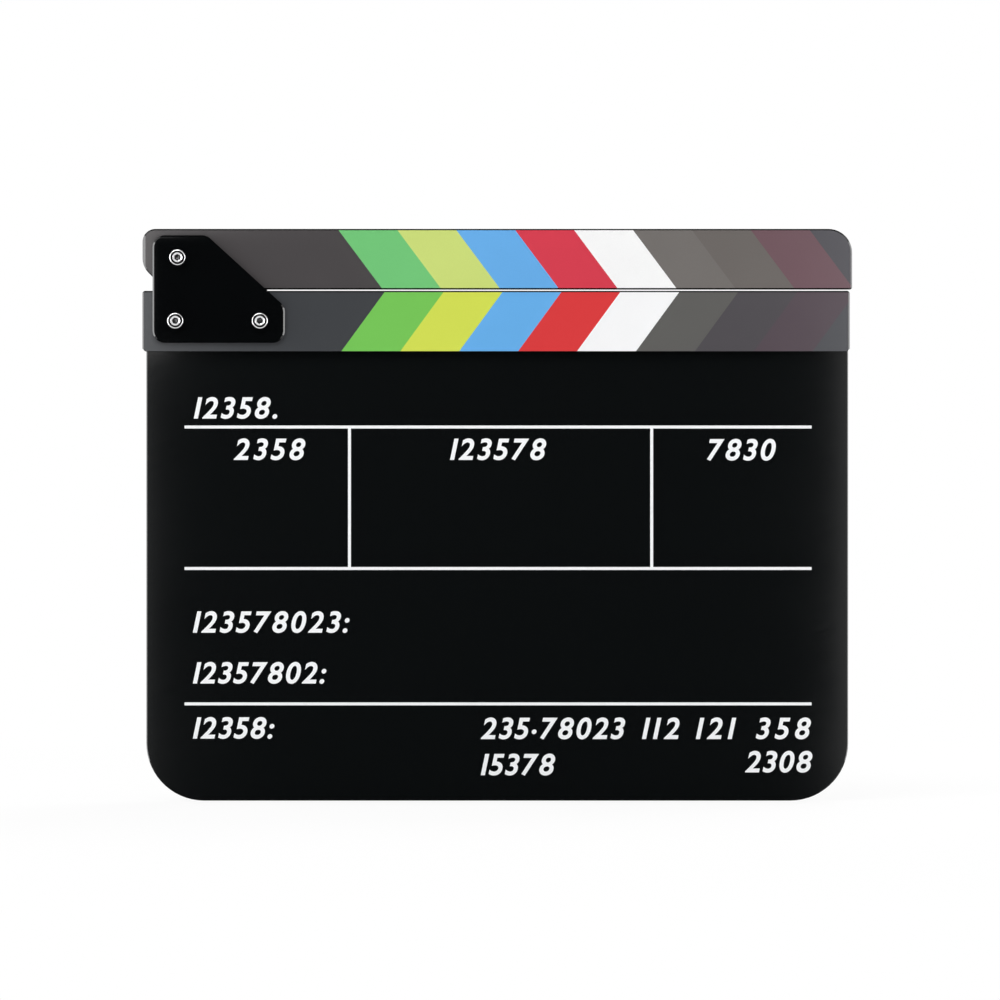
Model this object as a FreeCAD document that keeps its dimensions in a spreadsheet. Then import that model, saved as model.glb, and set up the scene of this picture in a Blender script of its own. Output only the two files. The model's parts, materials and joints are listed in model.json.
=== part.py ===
"""Clapperboard: a black writing board, a fixed lower stick and a hinged upper stick.

Frame, in millimetres: the board stands upright with its front towards -Y, +X to its right and +Z up.
The origin is the middle of the board's bottom edge, and Y = 0 is the middle of the board's thickness.
"""
import FreeCAD
import Part
import Sketcher
import math
import os

# Driving dimensions, each written once.
DIMENSIONS = {
    # Writing board
    "board_width": 297,
    "face_height": 190,
    "board_thickness": 3,
    "board_corner_radius": 24.4,
    "board_bevel": 0.4,
    # Clapper sticks
    "stick_overhang": 1.5,
    "stick_height": 25.6,
    "strip_thickness": 3,
    "stick_gap": 0.6,
    "lower_stick_setback": 1,
    "lower_corner_radius": 1.2,
    "heel_top_radius": 5.5,
    "heel_cut": 9.6,
    "heel_radius": 8.9,
    "heel_bevel": 1.3,
    "tip_radius": 10,
    "tip_toe_radius": 1,
    "strip_bevel": 0.6,
    "pivot_inset": 15,
    "pivot_rise_share": 0.524,
    # Bonding tape between the board and the lower strips
    "tape_thickness": 0.5,
    "tape_inset": 1,
    # Hinge plates
    "plate_thickness": 2,
    "plate_width": 55.9,
    "plate_inset": 4.4,
    "plate_bottom_inset": 3.6,
    "plate_top_inset": 2.8,
    "plate_top_width": 22.9,
    "plate_side_height": 15.3,
    "plate_corner_radius": 5.2,
    "plate_bevel": 0.65,
    "left_screw_inset": 9.7,
    "right_screw_inset": 10.5,
    "low_screw_share": 0.502,
    # Socket head screws
    "screw_diameter": 4,
    "screw_length": 20,
    "screw_end_chamfer": 0.5,
    "head_diameter": 6.8,
    "head_height": 2.8,
    "head_chamfer": 0.55,
    "socket_across_flats": 2.5,
    "socket_mouth_diameter": 4.1,
    "socket_mouth_depth": 0.45,
    "socket_depth": 1.7,
    # Washers and nuts behind the rear plate
    "washer_diameter": 9,
    "washer_thickness": 0.8,
    "nut_across_flats": 7,
    "nut_height": 3.2,
    "nut_chamfer": 0.3,
    "collar_wall": 1.05,
    "collar_height": 1.6,
    "collar_rounding": 0.6,
    # Pivot
    "sleeve_wall": 0.85,
    "glide_washer_diameter": 12,
    # Clearances
    "screw_clearance": 0.15,
    "thread_clearance": 0.05,
    "running_clearance": 0.05,
    "glide_clearance": 0.1,
    # Printed films on the sticks
    "film_thickness": 0.15,
    "film_margin": 0.1,
    "band_start": 82.95,
    "band_end": 17.85,
    "band_lean": 18.2,
    "lower_band_shift": 1.2,
    # White rules printed on the board
    "ink_thickness": 0.1,
    "rule_thickness": 1.25,
    "rule_left_margin": 16.2,
    "rule_right_margin": 15.5,
    "title_rule_share": 0.832,
    "field_rule_share": 0.517,
    "date_rule_share": 0.2155,
    "left_divider_share": 0.263,
    "right_divider_share": 0.745,
}

BAND_NAMES = ["green", "yellow", "blue", "red", "white", "pale_grey", "mid_grey", "plum_grey"]
HEEL_END_NAME = "charcoal"
TIP_END_NAME = "slate_grey"
HEX_SIDES = 6
NUT_CHAMFER_SLOPE_DEG = 30
FULL_TURN_DEG = 360
MATCH_SHARE = 0.001

# Lengths and places that follow from the driving dimensions, as formulas of the sheet's names.
HALF_BOARD = "Dims.board_thickness / 2"
HALF_UPPER = f"({HALF_BOARD} + Dims.strip_thickness)"
HALF_STACK = f"({HALF_UPPER} + Dims.tape_thickness)"
HALF_HINGE = f"({HALF_STACK} + Dims.plate_thickness)"
FRONT_SEAT = f"({HALF_STACK} + Dims.film_thickness)"
FRONT_HINGE = f"({FRONT_SEAT} + Dims.plate_thickness)"
STICK_LENGTH = "(Dims.board_width + 2 * Dims.stick_overhang)"
STICK_LEFT = f"(-{STICK_LENGTH} / 2)"
BOARD_LEFT = "(-Dims.board_width / 2)"
LOWER_LENGTH = f"({STICK_LENGTH} - Dims.lower_stick_setback)"
LOWER_BOTTOM = "Dims.face_height"
UPPER_BOTTOM = "(Dims.face_height + Dims.stick_height + Dims.stick_gap)"
SCREW_HOLE = "(Dims.screw_diameter + 2 * Dims.screw_clearance)"
NUT_BORE = "(Dims.screw_diameter + 2 * Dims.thread_clearance)"
COLLAR_DIAMETER = f"({NUT_BORE} + 2 * Dims.collar_wall)"
SLEEVE_DIAMETER = f"({SCREW_HOLE} + 2 * Dims.sleeve_wall)"
SLEEVE_HOLE = f"({SLEEVE_DIAMETER} + 2 * Dims.running_clearance)"
PLATE_LEFT = f"({STICK_LEFT} + Dims.plate_inset)"
PLATE_BOTTOM = f"({LOWER_BOTTOM} + Dims.plate_bottom_inset)"
PLATE_HEIGHT = f"({UPPER_BOTTOM} + Dims.stick_height - Dims.plate_top_inset - {PLATE_BOTTOM})"
PIVOT_X = f"({STICK_LEFT} + Dims.pivot_inset)"
PIVOT_Z = f"({UPPER_BOTTOM} + Dims.pivot_rise_share * Dims.stick_height)"
LEFT_SCREW_X = f"({PLATE_LEFT} + Dims.left_screw_inset)"
RIGHT_SCREW_X = f"({PLATE_LEFT} + Dims.plate_width - Dims.right_screw_inset)"
LOW_SCREW_Z = f"({LOWER_BOTTOM} + Dims.low_screw_share * Dims.stick_height)"
BAND_PITCH = f"(({STICK_LENGTH} - Dims.band_start - Dims.band_end) / {len(BAND_NAMES)})"
LOWER_CORNER = "Dims.lower_corner_radius"
LOWER_FILM_RADII = [LOWER_CORNER] * 2 + [f"{LOWER_CORNER} - Dims.strip_bevel"] * 2
HEEL_CORNER = "Dims.heel_radius"
UPPER_RADII = [HEEL_CORNER, "Dims.tip_toe_radius", "Dims.tip_radius", "Dims.heel_top_radius", HEEL_CORNER]
UPPER_FILM_RADII = [f"{radius} - Dims.strip_bevel" for radius in UPPER_RADII]
PIVOT_PLACE = (PIVOT_X, PIVOT_Z)
PLATE_SCREW_PLACES = [(LEFT_SCREW_X, LOW_SCREW_Z), (RIGHT_SCREW_X, LOW_SCREW_Z)]

doc = FreeCAD.newDocument("Clapperboard")
sheet = doc.addObject("Spreadsheet::Sheet", "Dims")
for row, (name, number) in enumerate(DIMENSIONS.items(), start=1):
    sheet.set(f"A{row}", name)
    sheet.set(f"B{row}", str(number))
    sheet.setAlias(f"B{row}", name)
doc.recompute()


def value(formula):
    """Number that a formula of the sheet's names comes to."""
    return float(sheet.evalExpression(formula))


def place(item, x, y, z):
    """Bind an object's place to three formulas."""
    item.setExpression("Placement.Base.x", x)
    item.setExpression("Placement.Base.y", y)
    item.setExpression("Placement.Base.z", z)


def new_body(label, x, y, z):
    """Empty body whose own origin stands at x, y, z of the shared frame."""
    body = doc.addObject("PartDesign::Body", label)
    body.Label = label
    place(body, x, y, z)
    return body


def new_sketch(body, name, role):
    """Sketch on one of the body's own origin planes."""
    sketch = body.newObject("Sketcher::SketchObject", f"{body.Name}_{name}")
    plane = next(item for item in body.Origin.OriginFeatures if item.Role == role)
    sketch.AttachmentSupport = [(plane, "")]
    sketch.MapMode = "FlatFace"
    return sketch


def hold_point(sketch, geometry, point, x, y):
    """Hold one point of a sketch by a formula each way, or on the axis where the formula is zero."""
    for kind, formula, axis in (("DistanceX", x, -2), ("DistanceY", y, -1)):
        if formula == "0":
            sketch.addConstraint(Sketcher.Constraint("PointOnObject", geometry, point, axis))
            continue
        held = Sketcher.Constraint(kind, -1, 1, geometry, point, value(formula))
        index = sketch.addConstraint(held)
        sketch.setExpression(f"Constraints[{index}]", formula)


def draw_polygon(sketch, corners):
    """Closed polygon through corners that are pairs of formulas."""
    points = [FreeCAD.Vector(value(x), value(y), 0) for x, y in corners]
    first = sketch.GeometryCount
    for start, end in zip(points, points[1:] + points[:1]):
        sketch.addGeometry(Part.LineSegment(start, end), False)
    for step, (x, y) in enumerate(corners):
        following = first + (step + 1) % len(corners)
        sketch.addConstraint(Sketcher.Constraint("Coincident", first + step, 2, following, 1))
        hold_point(sketch, first + step, 1, x, y)


def draw_circle(sketch, x, y, diameter):
    """Circle whose centre and diameter are formulas."""
    centre = FreeCAD.Vector(value(x), value(y), 0)
    circle = Part.Circle(centre, FreeCAD.Vector(0, 0, 1), value(diameter) / 2)
    index = sketch.addGeometry(circle, False)
    if x == "0" and y == "0":
        sketch.addConstraint(Sketcher.Constraint("Coincident", index, 3, -1, 1))
    else:
        hold_point(sketch, index, 3, x, y)
    held = sketch.addConstraint(Sketcher.Constraint("Diameter", index, value(diameter)))
    sketch.setExpression(f"Constraints[{held}]", diameter)


def draw_hexagon(sketch, across_flats):
    """Regular hexagon about the sketch's origin, with two corners on its horizontal axis."""
    reach = f"{across_flats} / sqrt(3)"
    corners = []
    for side in range(HEX_SIDES):
        turn = 2 * math.pi * side / HEX_SIDES
        rise_share = math.sin(turn)
        rise = "0" if abs(rise_share) < MATCH_SHARE else f"{reach} * {rise_share}"
        corners.append((f"{reach} * {math.cos(turn)}", rise))
    draw_polygon(sketch, corners)


def add_pad(body, sketch, length, backwards=False):
    """Thickness given to a sketch, towards the front unless backwards."""
    pad = body.newObject("PartDesign::Pad", f"{sketch.Name}_pad")
    pad.Profile = sketch
    pad.Reversed = backwards
    pad.setExpression("Length", length)
    doc.recompute()
    return pad


def check_cut(cut, base):
    """Refuse a cut that took nothing away."""
    if cut.Shape.Volume >= base.Shape.Volume:
        raise RuntimeError(f"{cut.Name} cuts nothing")


def corner_edges(feature, corners):
    """Names of the edges that run through the thickness at the given corners."""
    reach = MATCH_SHARE * feature.Shape.BoundBox.DiagonalLength
    wanted = [(value(x), value(z)) for x, z in corners]
    names = []
    for number, edge in enumerate(feature.Shape.Edges, start=1):
        ends = [vertex.Point for vertex in edge.Vertexes]
        for x, z in wanted:
            if len(ends) == 2 and all(math.hypot(end.x - x, end.z - z) < reach for end in ends):
                names.append(f"Edge{number}")
    return names


def rim_edges(feature, depth, above):
    """Names of the outline's edges in the face at one depth, those above a height where one is given."""
    reach = MATCH_SHARE * feature.Shape.BoundBox.DiagonalLength
    lowest = -math.inf if above is None else value(above) + reach
    names = []
    for number, edge in enumerate(feature.Shape.Edges, start=1):
        box = edge.BoundBox
        flat = abs(box.YMin - depth) < reach / 2 and abs(box.YMax - depth) < reach / 2
        if flat and not edge.Closed and box.ZMax > lowest:
            names.append(f"Edge{number}")
    return names


def round_corners(body, feature, corners, radius):
    """Round the given corners of a flat piece."""
    fillet = body.newObject("PartDesign::Fillet", f"{feature.Name}_round")
    fillet.Base = (feature, corner_edges(feature, corners))
    fillet.setExpression("Radius", radius)
    doc.recompute()
    return fillet


def bevel_rim(body, feature, depths, size, above=None):
    """Bevel the outline of a flat piece at one or both of its faces, all round or above a height."""
    names = []
    for depth in depths:
        names += rim_edges(feature, depth, above)
    chamfer = body.newObject("PartDesign::Chamfer", f"{feature.Name}_bevel")
    chamfer.Base = (feature, names)
    chamfer.setExpression("Size", size)
    doc.recompute()
    return chamfer


def flat_piece(body, corners, holes, thickness):
    """Sheet cut to a polygon with round holes: its rear face is at the body's own Y = 0."""
    sketch = new_sketch(body, "outline", "XZ_Plane")
    draw_polygon(sketch, corners)
    for x, z, diameter in holes:
        draw_circle(sketch, x, z, diameter)
    return add_pad(body, sketch, thickness)


def rectangle(left, bottom, right, top):
    """Corners of a rectangle from lower left, anticlockwise."""
    return [(left, bottom), (right, bottom), (right, top), (left, top)]


def local_holes(places, left, bottom, diameter):
    """Holes at places of the shared frame, counted from a piece's own left and bottom."""
    return [(f"{x} - {left}", f"{z} - {bottom}", diameter) for x, z in places]


def make_board():
    """Writing board, which runs up between the lower strips."""
    body = new_body("writing_board", BOARD_LEFT, HALF_BOARD, "0")
    corners = rectangle("0", "0", "Dims.board_width", "Dims.face_height + Dims.stick_height")
    holes = local_holes(PLATE_SCREW_PLACES, BOARD_LEFT, "0", SCREW_HOLE)
    sheet_cut = flat_piece(body, corners, holes, "Dims.board_thickness")
    rounded = round_corners(body, sheet_cut, corners[:2], "Dims.board_corner_radius")
    bevel_rim(body, rounded, [0, -value("Dims.board_thickness")], "Dims.board_bevel")
    return body


def make_tape(label, rear):
    """Bonding tape between the board and a lower strip."""
    left = f"({BOARD_LEFT} + Dims.tape_inset)"
    bottom = f"({LOWER_BOTTOM} + Dims.tape_inset)"
    body = new_body(label, left, rear, bottom)
    length = "Dims.board_width - 2 * Dims.tape_inset"
    height = "Dims.stick_height - 2 * Dims.tape_inset"
    holes = local_holes(PLATE_SCREW_PLACES, left, bottom, SCREW_HOLE)
    flat_piece(body, rectangle("0", "0", length, height), holes, "Dims.tape_thickness")
    return body


def make_lower_strip(label, rear, bevel_depth):
    """Fixed strip on one face of the board; its lower edge is square, between two cut corners."""
    body = new_body(label, STICK_LEFT, rear, LOWER_BOTTOM)
    corners = [
        (LOWER_CORNER, "0"),
        (f"{LOWER_LENGTH} - {LOWER_CORNER}", "0"),
        (LOWER_LENGTH, LOWER_CORNER),
        (LOWER_LENGTH, "Dims.stick_height"),
        ("0", "Dims.stick_height"),
        ("0", LOWER_CORNER),
    ]
    holes = local_holes(PLATE_SCREW_PLACES, STICK_LEFT, LOWER_BOTTOM, SCREW_HOLE)
    strip = flat_piece(body, corners, holes, "Dims.strip_thickness")
    rounded = round_corners(body, strip, corners[3:5], LOWER_CORNER)
    bevel_rim(body, rounded, [bevel_depth], "Dims.strip_bevel", above=LOWER_CORNER)
    return body


def upper_corners(inset):
    """Corners of the upper stick, moved in by an inset: its lower heel corner is cut off at 45 degrees."""
    cut = f"({inset} + Dims.heel_cut - (2 - sqrt(2)) * {inset})"
    left, bottom, right, top = inset, inset, f"{STICK_LENGTH} - {inset}", f"Dims.stick_height - {inset}"
    return [(cut, bottom), (right, bottom), (right, top), (left, top), (left, cut)]


def bevel_heel(body, rimmed, outer, inner):
    """Wider flat bevel down the heel's end, from its place on the shown face to its depth at the end."""
    section = new_sketch(body, "heel", "XY_Plane")
    draw_polygon(section, [("0", outer), ("Dims.heel_bevel", outer), ("0", inner)])
    cut = body.newObject("PartDesign::Pocket", f"{body.Name}_heel_bevel")
    cut.Profile = section
    cut.Reversed = True
    cut.setExpression("Length", "Dims.stick_height")
    doc.recompute()
    check_cut(cut, rimmed)


def make_upper_strip(label, rear, thickness, outer=None, inner=None):
    """One layer of the hinged stick; a shown face is bevelled, and its heel's end from outer to inner."""
    body = new_body(label, STICK_LEFT, rear, UPPER_BOTTOM)
    corners = upper_corners("0")
    holes = local_holes([PIVOT_PLACE], STICK_LEFT, UPPER_BOTTOM, SLEEVE_HOLE)
    feature = flat_piece(body, corners, holes, thickness)
    for corner, radius in zip(corners, UPPER_RADII):
        feature = round_corners(body, feature, [corner], radius)
    if outer is not None:
        rimmed = bevel_rim(body, feature, [value(outer)], "Dims.strip_bevel")
        bevel_heel(body, rimmed, outer, inner)
    return body


def make_hinge_plate(label, rear, bevel_depth):
    """Five-sided plate over both sticks at the hinge."""
    body = new_body(label, PLATE_LEFT, rear, PLATE_BOTTOM)
    corners = [
        ("0", "0"),
        ("Dims.plate_width", "0"),
        ("Dims.plate_width", "Dims.plate_side_height"),
        ("Dims.plate_top_width", PLATE_HEIGHT),
        ("0", PLATE_HEIGHT),
    ]
    places = [PIVOT_PLACE] + PLATE_SCREW_PLACES
    holes = local_holes(places, PLATE_LEFT, PLATE_BOTTOM, SCREW_HOLE)
    plate = flat_piece(body, corners, holes, "Dims.plate_thickness")
    rounded = round_corners(body, plate, corners, "Dims.plate_corner_radius")
    bevel_rim(body, rounded, [bevel_depth], "Dims.plate_bevel")
    return body


def make_screw(label, x, z):
    """Socket head screw from the front plate to behind the rear nut; its head's top is its own Y = 0."""
    body = new_body(label, x, f"-{FRONT_HINGE} - Dims.head_height", z)
    end = "(Dims.head_height + Dims.screw_length)"
    profile = [
        ("0", "Dims.socket_mouth_depth"),
        ("Dims.socket_across_flats / 2", "Dims.socket_mouth_depth"),
        ("Dims.socket_mouth_diameter / 2", "0"),
        ("Dims.head_diameter / 2 - Dims.head_chamfer", "0"),
        ("Dims.head_diameter / 2", "Dims.head_chamfer"),
        ("Dims.head_diameter / 2", "Dims.head_height"),
        ("Dims.screw_diameter / 2", "Dims.head_height"),
        ("Dims.screw_diameter / 2", f"{end} - Dims.screw_end_chamfer"),
        ("Dims.screw_diameter / 2 - Dims.screw_end_chamfer", end),
        ("0", end),
    ]
    section = new_sketch(body, "section", "XY_Plane")
    draw_polygon(section, profile)
    turned = body.newObject("PartDesign::Revolution", f"{label}_turned")
    turned.Profile = section
    turned.ReferenceAxis = (section, ["V_Axis"])
    turned.Angle = FULL_TURN_DEG
    doc.recompute()
    socket_outline = new_sketch(body, "socket", "XZ_Plane")
    draw_hexagon(socket_outline, "Dims.socket_across_flats")
    socket = body.newObject("PartDesign::Pocket", f"{label}_hex")
    socket.Profile = socket_outline
    socket.setExpression("Length", "Dims.socket_depth")
    doc.recompute()
    check_cut(socket, turned)
    return body


def make_ring(label, place_xz, rear, outer, bore, thickness):
    """Flat ring or sleeve about one screw; its rear face is its own Y = 0."""
    body = new_body(label, place_xz[0], rear, place_xz[1])
    sketch = new_sketch(body, "ring", "XZ_Plane")
    draw_circle(sketch, "0", "0", outer)
    draw_circle(sketch, "0", "0", bore)
    add_pad(body, sketch, thickness)
    return body


def make_nut(label, place_xz, locking):
    """Hexagon nut on the rear washer, with a round collar for the locking ring where it has one."""
    seat = f"{HALF_HINGE} + Dims.washer_thickness"
    body = new_body(label, place_xz[0], f"{seat} + Dims.nut_height", place_xz[1])
    sketch = new_sketch(body, "hexagon", "XZ_Plane")
    draw_hexagon(sketch, "Dims.nut_across_flats")
    draw_circle(sketch, "0", "0", NUT_BORE)
    hexagon = add_pad(body, sketch, "Dims.nut_height")
    slope = math.tan(math.radians(NUT_CHAMFER_SLOPE_DEG))
    inner = "(Dims.nut_across_flats / 2 - Dims.nut_chamfer)"
    outer = "(Dims.nut_across_flats / sqrt(3) + Dims.nut_chamfer)"
    section = new_sketch(body, "chamfer", "XY_Plane")
    draw_polygon(section, [(inner, "0"), (outer, f"-({outer} - {inner}) * {slope}"), (outer, "0")])
    turned = body.newObject("PartDesign::Groove", f"{label}_turned")
    turned.Profile = section
    turned.ReferenceAxis = (section, ["V_Axis"])
    turned.Angle = FULL_TURN_DEG
    doc.recompute()
    check_cut(turned, hexagon)
    if locking:
        ring = new_sketch(body, "collar", "XZ_Plane")
        draw_circle(ring, "0", "0", COLLAR_DIAMETER)
        draw_circle(ring, "0", "0", NUT_BORE)
        collar = add_pad(body, ring, "Dims.collar_height", backwards=True)
        round_collar(body, collar)
    return body


def round_collar(body, collar):
    """Turn the collar's outer rim over, as where it is rolled onto the locking ring."""
    top = value("Dims.collar_height")
    half = value(COLLAR_DIAMETER) / 2
    reach = MATCH_SHARE * collar.Shape.BoundBox.DiagonalLength
    names = []
    for number, edge in enumerate(collar.Shape.Edges, start=1):
        box = edge.BoundBox
        if abs(box.YMin - top) < reach and abs(box.XMax - half) < reach:
            names.append(f"Edge{number}")
    rolled = body.newObject("PartDesign::Fillet", f"{collar.Name}_rolled")
    rolled.Base = (collar, names)
    rolled.setExpression("Radius", "Dims.collar_rounding")
    doc.recompute()


def make_group(label, members):
    """One named group of separate like pieces."""
    group = doc.addObject("Part::Compound", label)
    group.Label = label
    group.Links = members
    return group


def make_films(stick, bottom, front, corners, radii, holes, start, shift, lean_at_top):
    """Printed films inside a stick's front outline, side by side from a start, meeting on slanted lines."""
    low = corners[0][1]
    right, high = corners[2]
    face = new_body(f"{stick}_face", STICK_LEFT, front, bottom)
    flat = flat_piece(face, corners, holes, "Dims.film_thickness")
    for corner, radius in zip(corners, radii):
        flat = round_corners(face, flat, [corner], radius)
    low_lean = "0" if lean_at_top else "Dims.band_lean"
    high_lean = "Dims.band_lean" if lean_at_top else "0"
    seams = [(start, start)]
    for number in range(len(BAND_NAMES) + 1):
        seam = f"Dims.band_start + {shift} + {number} * {BAND_PITCH}"
        seams.append((f"{seam} + {low_lean}", f"{seam} + {high_lean}"))
    past_tip = f"{right} + Dims.band_lean"
    seams.append((past_tip, past_tip))
    names = [HEEL_END_NAME] + BAND_NAMES + [TIP_END_NAME]
    films = []
    for colour, near, far in zip(names, seams, seams[1:]):
        slant = new_body(f"{stick}_slant_{colour}", STICK_LEFT, front, bottom)
        outline = [(near[0], low), (far[0], low), (far[1], high), (near[1], high)]
        flat_piece(slant, outline, [], "Dims.film_thickness")
        film = doc.addObject("Part::Common", f"{stick}_band_{colour}")
        film.Label = f"{stick}_band_{colour}"
        film.Base = slant
        film.Tool = face
        films.append(film)
    return films


def make_rule_bar(name, left, bottom, length, height):
    """One printed bar on the board's front face."""
    bar = doc.addObject("Part::Box", name)
    bar.setExpression("Length", length)
    bar.setExpression("Width", "Dims.ink_thickness")
    bar.setExpression("Height", height)
    place(bar, left, f"-{HALF_BOARD} - Dims.ink_thickness", bottom)
    return bar


def make_rules():
    """White rules: three across the board, and two dividers between the upper two."""
    left = f"({BOARD_LEFT} + Dims.rule_left_margin)"
    length = "(Dims.board_width - Dims.rule_left_margin - Dims.rule_right_margin)"
    thickness = "Dims.rule_thickness"
    bars = []
    for name in ("title", "field", "date"):
        bottom = f"Dims.{name}_rule_share * Dims.face_height - {thickness} / 2"
        bars.append(make_rule_bar(f"{name}_rule", left, bottom, length, thickness))
    bottom = "Dims.field_rule_share * Dims.face_height"
    height = "(Dims.title_rule_share - Dims.field_rule_share) * Dims.face_height"
    for name in ("left", "right"):
        start = f"{left} + Dims.{name}_divider_share * {length} - {thickness} / 2"
        bars.append(make_rule_bar(f"{name}_divider", start, bottom, thickness, height))
    rules = doc.addObject("Part::MultiFuse", "printed_rules")
    rules.Label = "printed_rules"
    rules.Shapes = bars
    return rules


def make_slate():
    """Everything that stays with the board."""
    front_of_strip = -value("Dims.strip_thickness")
    front_of_plate = -value("Dims.plate_thickness")
    glide = "(Dims.tape_thickness - Dims.glide_clearance)"
    sleeve_length = f"{HALF_STACK} + {FRONT_SEAT}"
    screw_places = [PIVOT_PLACE] + PLATE_SCREW_PLACES
    pieces = [
        make_board(),
        make_tape("lower_tape_front", f"-{HALF_BOARD}"),
        make_tape("lower_tape_rear", f"{HALF_BOARD} + Dims.tape_thickness"),
        make_lower_strip("lower_stick_front", f"-{HALF_BOARD} - Dims.tape_thickness", front_of_strip),
        make_lower_strip("lower_stick_rear", HALF_STACK, 0),
        make_hinge_plate("hinge_plate_front", f"-{FRONT_SEAT}", front_of_plate),
        make_hinge_plate("hinge_plate_rear", HALF_HINGE, 0),
        make_ring("pivot_sleeve", PIVOT_PLACE, HALF_STACK, SLEEVE_DIAMETER, SCREW_HOLE, sleeve_length),
        make_screw("pivot_screw", *PIVOT_PLACE),
        make_nut("pivot_lock_nut", PIVOT_PLACE, locking=True),
        make_rules(),
    ]
    glide_rears = {"front": f"-{FRONT_SEAT} + {glide}", "rear": HALF_STACK}
    glides = [
        make_ring(f"glide_washer_{side}", PIVOT_PLACE, rear, "Dims.glide_washer_diameter", SLEEVE_HOLE, glide)
        for side, rear in glide_rears.items()
    ]
    screws = [make_screw(f"plate_screw_{n}", *spot) for n, spot in enumerate(PLATE_SCREW_PLACES)]
    nuts = [make_nut(f"plate_nut_{n}", spot, locking=False) for n, spot in enumerate(PLATE_SCREW_PLACES)]
    washer = "Dims.washer_thickness"
    washer_rear = f"{HALF_HINGE} + {washer}"
    washers = [
        make_ring(f"nut_washer_{n}", spot, washer_rear, "Dims.washer_diameter", SCREW_HOLE, washer)
        for n, spot in enumerate(screw_places)
    ]
    pieces.append(make_group("glide_washers", glides))
    pieces.append(make_group("plate_screws", screws))
    pieces.append(make_group("plate_nuts", nuts))
    pieces.append(make_group("nut_washers", washers))
    holes = local_holes(PLATE_SCREW_PLACES, STICK_LEFT, LOWER_BOTTOM, SCREW_HOLE)
    inset = "Dims.strip_bevel"
    corners = rectangle(
        inset, "Dims.film_margin", f"{LOWER_LENGTH} - {inset}", f"Dims.stick_height - {inset}",
    )
    pieces += make_films(
        "lower", LOWER_BOTTOM, f"-{HALF_STACK}", corners, LOWER_FILM_RADII, holes, inset,
        "Dims.lower_band_shift", lean_at_top=True,
    )
    return pieces


def make_clapper():
    """Everything that swings about the pivot."""
    strip = "Dims.strip_thickness"
    bevel = "Dims.heel_bevel"
    pieces = [
        make_upper_strip("upper_stick_core", HALF_BOARD, "Dims.board_thickness"),
        make_upper_strip("upper_stick_front", f"-{HALF_BOARD}", strip, f"-{strip}", f"{bevel} - {strip}"),
        make_upper_strip("upper_stick_rear", HALF_UPPER, strip, "0", f"-{bevel}"),
    ]
    holes = local_holes([PIVOT_PLACE], STICK_LEFT, UPPER_BOTTOM, SLEEVE_HOLE)
    corners = upper_corners("Dims.strip_bevel")
    pieces += make_films(
        "upper", UPPER_BOTTOM, f"-{HALF_UPPER}", corners, UPPER_FILM_RADII, holes, bevel,
        "0", lean_at_top=False,
    )
    return pieces


def write_parts(pieces):
    """Check every object of the document, then write each piece to its own file."""
    doc.recompute()
    for item in doc.Objects:
        if "Invalid" in item.State or "Error" in item.State:
            raise RuntimeError(f"{item.Name} is {item.State}")
    for piece in pieces:
        if piece.Shape.isNull() or not piece.Shape.isValid() or not piece.Shape.Solids:
            raise RuntimeError(f"{piece.Label} has no valid solid")
    os.makedirs("parts", exist_ok=True)
    for piece in pieces:
        piece.Shape.exportStep(os.path.join("parts", f"{piece.Label}.step"))
        print(piece.Label, len(piece.Shape.Solids), round(piece.Shape.Volume, 2))


write_parts(make_slate() + make_clapper())
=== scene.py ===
"""Dressed clapperboard: gloss board, printed sticks, turned fasteners, and a white studio round them.

Everything is in metres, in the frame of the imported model: the front towards -Y, +X to the right, +Z up.
"""

import json
import logging
import math
from dataclasses import dataclass, field, replace
from enum import Enum
from typing import Iterable, Optional, Sequence, Union

import bmesh
import bpy
from mathutils import Color, Matrix, Vector


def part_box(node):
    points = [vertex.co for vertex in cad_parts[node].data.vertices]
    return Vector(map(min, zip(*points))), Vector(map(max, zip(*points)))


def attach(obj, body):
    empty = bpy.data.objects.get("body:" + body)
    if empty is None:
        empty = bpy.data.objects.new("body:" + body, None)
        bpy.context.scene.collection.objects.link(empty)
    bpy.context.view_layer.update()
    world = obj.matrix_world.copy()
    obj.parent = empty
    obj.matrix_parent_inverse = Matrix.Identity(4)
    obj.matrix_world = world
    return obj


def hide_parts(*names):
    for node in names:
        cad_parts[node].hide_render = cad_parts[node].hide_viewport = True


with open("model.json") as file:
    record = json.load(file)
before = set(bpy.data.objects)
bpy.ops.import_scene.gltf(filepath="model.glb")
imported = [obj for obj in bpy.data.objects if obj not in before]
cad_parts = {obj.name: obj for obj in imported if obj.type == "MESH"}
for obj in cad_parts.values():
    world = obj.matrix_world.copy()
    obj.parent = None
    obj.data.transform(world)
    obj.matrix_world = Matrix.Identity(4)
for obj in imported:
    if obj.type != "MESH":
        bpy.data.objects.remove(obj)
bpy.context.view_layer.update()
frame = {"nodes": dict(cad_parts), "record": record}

LOG = logging.getLogger("clapperboard")
MM = 0.001
SLATE = "slate"
WHITE = (1.0, 1.0, 1.0)
BLACK = (0.0, 0.0, 0.0)
FULL_LEVEL = 255
CLOUD_MEAN = 0.5
CREASE = math.radians(28.0)
RAISED_DOT = "\u00b7"
# Attributes of a turned mesh and of the points that fasteners stand on.
TURN_RADIUS = "turn_radius"
# Share of painted shade that darkens a fastener's recesses.
PAINTED_SHADE = "soil"
SPIN = "spin"

Colour = tuple[float, float, float]
Place = tuple[float, float, float]
Sides = tuple[float, float, float, float]
Step = tuple[float, float]
Key = Union[str, int]
Term = Union["Wire", float, Sequence[float]]


class Band(Enum):
    """Printed colours of a stick, from its heel to its tip."""

    CHARCOAL = "charcoal"
    GREEN = "green"
    YELLOW = "yellow"
    BLUE = "blue"
    RED = "red"
    WHITE = "white"
    PALE_GREY = "pale_grey"
    MID_GREY = "mid_grey"
    PLUM_GREY = "plum_grey"
    SLATE_GREY = "slate_grey"


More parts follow.
